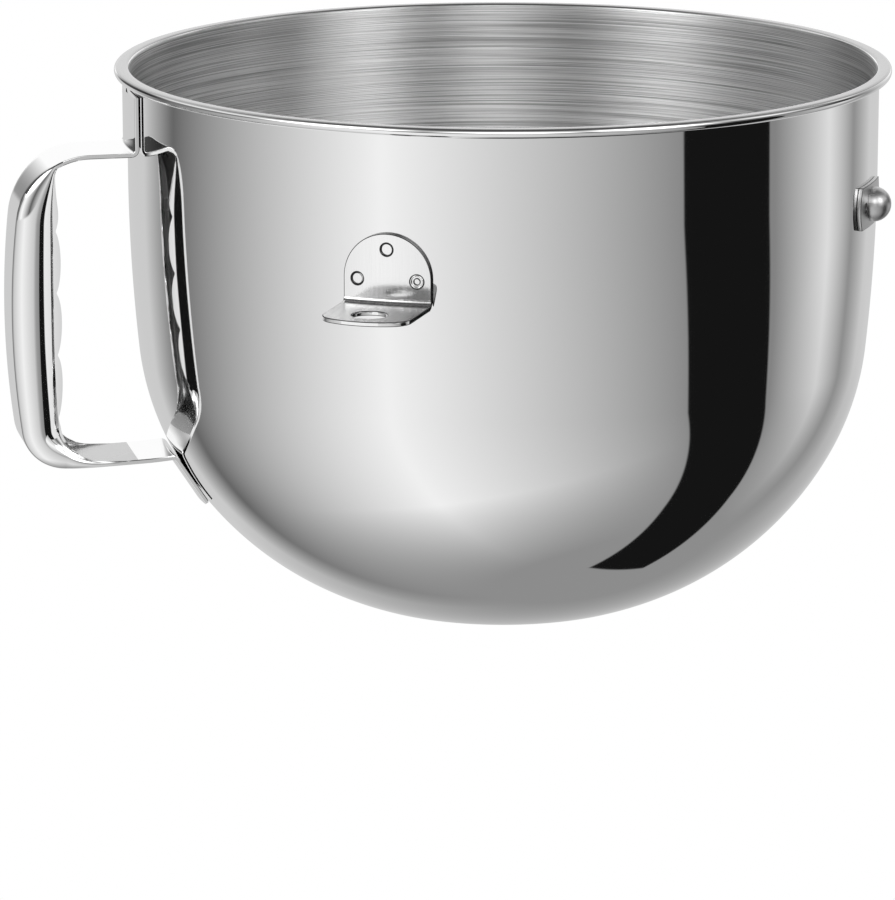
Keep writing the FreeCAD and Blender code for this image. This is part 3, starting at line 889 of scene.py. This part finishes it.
@dataclass(frozen=True)
class SideBracket(WeldedPart):
    """A lifting bracket: a bright plate on the wall, with a brushed ledge darkened as painted shade,
    and a cut edge painted near black as a shade line.
    """

    side: str = "right"
    turned: float = 0.0          # round the bowl, radians
    softening: float = 0.28
    steels: Tuple[SteelFinish, ...] = (PLATE, SHADED_LEDGE, SHADE_AND_WELD_DARK)
    bowl: Bowl = Bowl()
    plate_t: float = 1.5
    drop: float = 33.4           # rim to the top of the bracket
    ledge_drop: float = 55.0
    plate_above: float = 3.5     # ledge to the upright part of the plate
    welds: Tuple[Tuple[WeldRing, ...], ...] = (
        (WeldRing(0.0, 4.9, 1.75, 0.09, SHADE_AND_WELD_DARK),),
        (WeldRing(-9.5, 14.4, 1.65, 0.08, SHADE_AND_WELD_DARK),),
        (WeldRing(9.5, 14.4, 2.3, 0.14, SHADE_AND_WELD_DARK), WeldRing(9.5, 14.4, 1.9, 0.2, PRESSED),
         WeldRing(9.5, 14.4, 1.0, 0.14, SHADE_AND_WELD_DARK)))

    def steel_of(self, at: Vector, normal: Vector) -> int:
        """Which steel a face gets.

        Args: the face's middle in mm and its normal.
        Returns: 0, the bright plate; 1, the brushed ledge, darkened as painted shade; 2, the plate's
        cut edge, painted near black as shade.
        """
        # above the ledge, the plate's side faces get the near black steel, painted shade; below, the
        # ledge's top gets the darker steel, painted shade
        if at.z - self.bowl.level(self.ledge_drop) > self.plate_above:
            return 2 if abs(normal.x) < 0.7 and normal.z > -0.5 else 0
        return 1 if normal.z > 0.5 else 0

    def ring_mesh(self, ring: WeldRing) -> bmesh.types.BMesh:
        """Turns a wire into a ring and sets it on the plate.

        Args: ring, the ring's sizes and place.
        Returns: the mesh, in metres.
        """
        mesh = bmesh.new()
        circle = bmesh.ops.create_circle(mesh, segments=12, radius=ring.wire * MM)
        bmesh.ops.rotate(mesh, verts=circle["verts"], cent=(0, 0, 0),
                         matrix=Matrix.Rotation(math.pi / 2, 3, "X"))
        bmesh.ops.translate(mesh, verts=circle["verts"], vec=(ring.radius * MM, 0, 0))
        bmesh.ops.spin(mesh, geom=mesh.verts[:] + mesh.edges[:], cent=(0, 0, 0),
                       axis=(0, 0, 1), angle=math.tau, steps=40, use_merge=True)
        bmesh.ops.remove_doubles(mesh, verts=mesh.verts, dist=1e-7)
        bmesh.ops.recalc_face_normals(mesh, faces=mesh.faces)
        face = self.bowl.wall_r + self.plate_t - 0.05
        seat = Vector((math.sqrt(face ** 2 - ring.aside ** 2), ring.aside,
                       self.bowl.level(self.drop + ring.drop))) * MM
        lean = Matrix.Rotation(math.asin(ring.aside / face), 4, "Z")
        spot = Matrix.Rotation(self.turned, 4, "Z") @ Matrix.Translation(seat) @ lean
        bmesh.ops.transform(mesh, verts=mesh.verts, matrix=spot @ Matrix.Rotation(math.pi / 2, 4, "Y"))
        return mesh

    def dress_welds(self, shop: SteelShop) -> None:
        """Makes the rings' pieces. Args: shop, for their steels."""
        for number, rings in enumerate(self.welds):
            for ring in rings:
                Piece(f"weld_mark_{self.side}_{number}_{ring.steel.name}", self.ring_mesh(ring),
                      (shop.get(ring.steel),))


# studio
class Studio:
    """Floor, light and camera of the photograph."""

    CAMERA_AT = Vector((1608.06, 479.06, 456.13))
    CAMERA_TO = Vector((-0.92812, -0.28729, -0.23684))
    LENS = 209.78

    # plain lights below the horizon, round an axis that leans away under the bowl
    AXIS = Vector((0.29, -0.32, -0.90)).normalized()
    AHEAD = (Vector((0, 1, 0)) - AXIS * AXIS.y).normalized()
    RIGHT = AXIS.cross(AHEAD)
    BANDS = (Band(-180, 200), Band(-140, 200), Band(-120, 100), Band(-40, 240), Band(50, 130),
             Band(80, 130), Band(110, 220), Band(130, 140), Band(150, 200))
    NEAR_AXIS, NEAR_SPAN = 140.0, (0.6, 0.95)    # one grey, where the lights draw together
    # a dark flag in front of them: half width at the axis, and its growth away from it
    DARK, DARK_TURN = 20.0, 62.0
    DARK_HALF, DARK_FLARE, DARK_EDGE = 0.12, 0.14, 0.005
    # what a second reflection meets, by the angle from the camera, to the right
    DIM_BANDS = (Band(-180, 210), Band(-20, 240), Band(-15, 20), Band(80, 20), Band(90, 190),
                 Band(140, 220))
    # lights above the horizon, which the brushed inside draws out into upright streaks
    SKY_BANDS = (Band(-180, 250), Band(-150, 250), Band(-130, 110), Band(-80, 120),
                 Band(-55, 250), Band(-25, 90), Band(5, 220), Band(25, 110), Band(45, 250),
                 Band(70, 90), Band(90, 130), Band(120, 40), Band(160, 240))
    SKY_GAIN = 5.0                               # of the sky's lights on the camera's side
    GAIN_SIDE, GAIN_HEIGHT = (-0.75, -0.45), (0.24, 0.42)
    ZENITH, ZENITH_HEIGHT = 95.0, (0.35, 0.95)
    SCREEN_AT = (-0.67, -0.74, 0.03)             # a dark screen behind, to the left
    SCREEN_SPAN, SCREEN_SHARE, SCREEN_LIGHT = (0.905, 0.972), 0.93, 0.02
    HORIZON = (-0.06, -0.02)
    FLOOR_R, FLOOR_DROP = 6.0, 0.0002            # metres

    def __init__(self) -> None:
        """Sets up the camera, the floor and the world."""
        self._camera()
        self._floor()
        self._world()
        bpy.context.scene.view_settings.view_transform = "Standard"

    def _camera(self) -> None:
        """The photograph's camera."""
        data = bpy.data.cameras.new("camera")
        data.lens, data.sensor_width, data.sensor_fit = self.LENS, 36.0, "AUTO"
        data.clip_start, data.clip_end = 0.05, 60.0
        camera = bpy.data.objects.new("camera", data)
        camera.location = self.CAMERA_AT * MM
        camera.rotation_euler = (-self.CAMERA_TO).to_track_quat("Z", "Y").to_euler()
        bpy.context.scene.collection.objects.link(camera)
        bpy.context.scene.camera = camera

    def _floor(self) -> None:
        """A white floor that polished steel doesn't mirror."""
        mesh = bmesh.new()
        bmesh.ops.create_circle(mesh, cap_ends=True, segments=64, radius=self.FLOOR_R)
        data = bpy.data.meshes.new("floor")
        mesh.to_mesh(data)
        mesh.free()
        floor = bpy.data.objects.new("floor", data)
        floor.location.z = -self.FLOOR_DROP
        bpy.context.scene.collection.objects.link(floor)
        material = bpy.data.materials.new("floor_white")
        material.use_nodes = True
        material.node_tree.nodes.clear()
        nodes = Nodes(material.node_tree)
        seen = nodes.add("LightPath").outputs["Is Camera Ray"]
        paint = nodes.add("BsdfDiffuse", sockets={"Color": (0.9, 0.9, 0.9, 1)}).outputs[0]
        glow = nodes.add("Emission").outputs[0]
        both = nodes.add("MixShader", sockets={0: seen, 1: paint, 2: glow}).outputs[0]
        nodes.add("OutputMaterial", sockets={"Surface": both})
        data.materials.append(material)
        floor.visible_glossy = False

    def _in_frame(self, direction: Vector) -> Tuple[float, float, float]:
        """A direction given as right, towards the camera and up, in the object's frame."""
        towards = Vector((-self.CAMERA_TO.x, -self.CAMERA_TO.y, 0)).normalized()
        right = Vector((-towards.y, towards.x, 0))
        return tuple(right * direction.x + towards * direction.y + Vector((0, 0, 1)) * direction.z)

    @staticmethod
    def _light(grey: float) -> float:
        """The light that polished steel shows as a displayed grey of 0 to 255."""
        value = grey / 255
        linear = value / 12.92 if value <= 0.04045 else ((value + 0.055) / 1.055) ** 2.4
        return linear / MIRROR.grey

    def _dot(self, nodes: Nodes, ray: bpy.types.NodeSocket, direction: Vector) -> Value:
        """How far the ray points along a direction."""
        dot = nodes.add("VectorMath", {"operation": "DOT_PRODUCT"},
                        {0: ray, 1: self._in_frame(direction)})
        return nodes.value(dot.outputs["Value"])

    def _dial(self, nodes: Nodes, turn: Value, bands: Sequence[Band]) -> bpy.types.NodeSocket:
        """Light by an angle, -pi to pi.

        Args: the nodes, the angle in radians and the bands.
        Returns: the colour socket.
        """
        stops = [((band.angle + 180) / 360, self._light(band.grey))
                 for band in (*bands, Band(180, bands[0].grey))]
        around = nodes.span(turn, (-math.pi, math.pi))
        return nodes.add("ValToRGB", {"stops": stops}, {"Fac": around}).outputs["Color"]

    def _walls(self, nodes: Nodes, ray: bpy.types.NodeSocket) -> bpy.types.NodeSocket:
        """The light bands round the tilted axis, with the dark flag over them.

        Args: the nodes and the ray's direction.
        Returns: the colour socket.
        """
        axis = self._dot(nodes, ray, self.AXIS)
        turn = self._dot(nodes, ray, self.RIGHT).angle_from(self._dot(nodes, ray, self.AHEAD))
        walls = nodes.blend(nodes.span(axis, self.NEAR_SPAN), self._dial(nodes, turn, self.BANDS),
                            self._light(self.NEAR_AXIS))
        cos, sin = math.cos(math.radians(self.DARK_TURN)), math.sin(math.radians(self.DARK_TURN))
        along = self._dot(nodes, ray, self.AHEAD * cos + self.RIGHT * sin)
        across = self._dot(nodes, ray, self.RIGHT * cos - self.AHEAD * sin)
        inside = (along * self.DARK_FLARE + self.DARK_HALF - abs(across)).least(along)
        dark = nodes.span(inside, (-self.DARK_EDGE, self.DARK_EDGE))
        return nodes.blend(dark, walls, self._light(self.DARK))

    def _sky(self, nodes: Nodes, ray: bpy.types.NodeSocket, height: Value,
             turn: Value) -> bpy.types.NodeSocket:
        """The lights above the horizon.

        Args: the nodes, the ray's direction, its height and its level angle.
        Returns: the colour socket.
        """
        lights = self._dial(nodes, turn, self.SKY_BANDS)
        ahead = self._dot(nodes, ray, Vector((0, 1, 0)))
        near = (nodes.span(ahead, self.GAIN_SIDE, soft=True)
                * nodes.span(height, self.GAIN_HEIGHT, soft=True))
        gain = nodes.span(near, (0.0, 1.0), (1.0, self.SKY_GAIN))
        lights = nodes.add("VectorMath", {"operation": "SCALE"},
                           {0: lights, "Scale": gain}).outputs[0]
        lights = nodes.blend(nodes.span(height, self.ZENITH_HEIGHT, soft=True), lights,
                             self._light(self.ZENITH) * MIRROR.grey)
        screen = self._dot(nodes, ray, Vector(self.SCREEN_AT))
        return nodes.blend(nodes.span(screen, self.SCREEN_SPAN, (0.0, self.SCREEN_SHARE)),
                           lights, self.SCREEN_LIGHT)

    def _world(self) -> None:
        """White to the camera, and a room of soft light bands to everything that reflects."""
        world = bpy.data.worlds.new("studio")
        world.use_nodes = True
        bpy.context.scene.world = world
        world.node_tree.nodes.clear()
        nodes = Nodes(world.node_tree)
        ray = nodes.add("TexCoord").outputs["Generated"]
        path = nodes.add("LightPath").outputs
        height = self._dot(nodes, ray, Vector((0, 0, 1)))
        right = self._dot(nodes, ray, Vector((1, 0, 0)))
        turn = right.angle_from(self._dot(nodes, ray, Vector((0, 1, 0))))
        walls = nodes.blend(nodes.value(path["Glossy Depth"]) > 1.5, self._walls(nodes, ray),
                            self._dial(nodes, turn, self.DIM_BANDS))
        colour = nodes.blend(nodes.span(height, self.HORIZON, soft=True), walls,
                             self._sky(nodes, ray, height, turn))
        room = nodes.add("Background", sockets={"Color": colour}).outputs[0]
        plain = nodes.add("Background", sockets={"Color": (1, 1, 1, 1)}).outputs[0]
        both = nodes.add("MixShader", sockets={0: path["Is Glossy Ray"], 1: plain, 2: room})
        nodes.add("OutputWorld", sockets={"Surface": both.outputs[0]})


def main() -> None:
    """Loads the frame, dresses it and sets up the studio."""
    logging.basicConfig(level=logging.INFO, format="%(name)s: %(message)s")
    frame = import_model()
    shop = SteelShop()
    bowl = Bowl()
    bowl.dress(shop)
    StrapHandle(bowl).dress(shop)
    brackets = (SideBracket("side_bracket_right", bowl=bowl),
                SideBracket("side_bracket_left", side="left", turned=math.pi, bowl=bowl))
    for bracket in brackets:
        bracket.dress(frame, shop)
    for bracket in brackets:
        bracket.dress_welds(shop)
    # the latch plate's softened edges get the near black steel, a painted shade line
    WeldedPart("latch_plate", 0.2, (SATIN, SHADE_AND_WELD_DARK)).dress(frame, shop)
    WeldedPart("latch_pin", 0.15, (SATIN,)).dress(frame, shop)
    Studio()


if __name__ == "__main__":
    main()
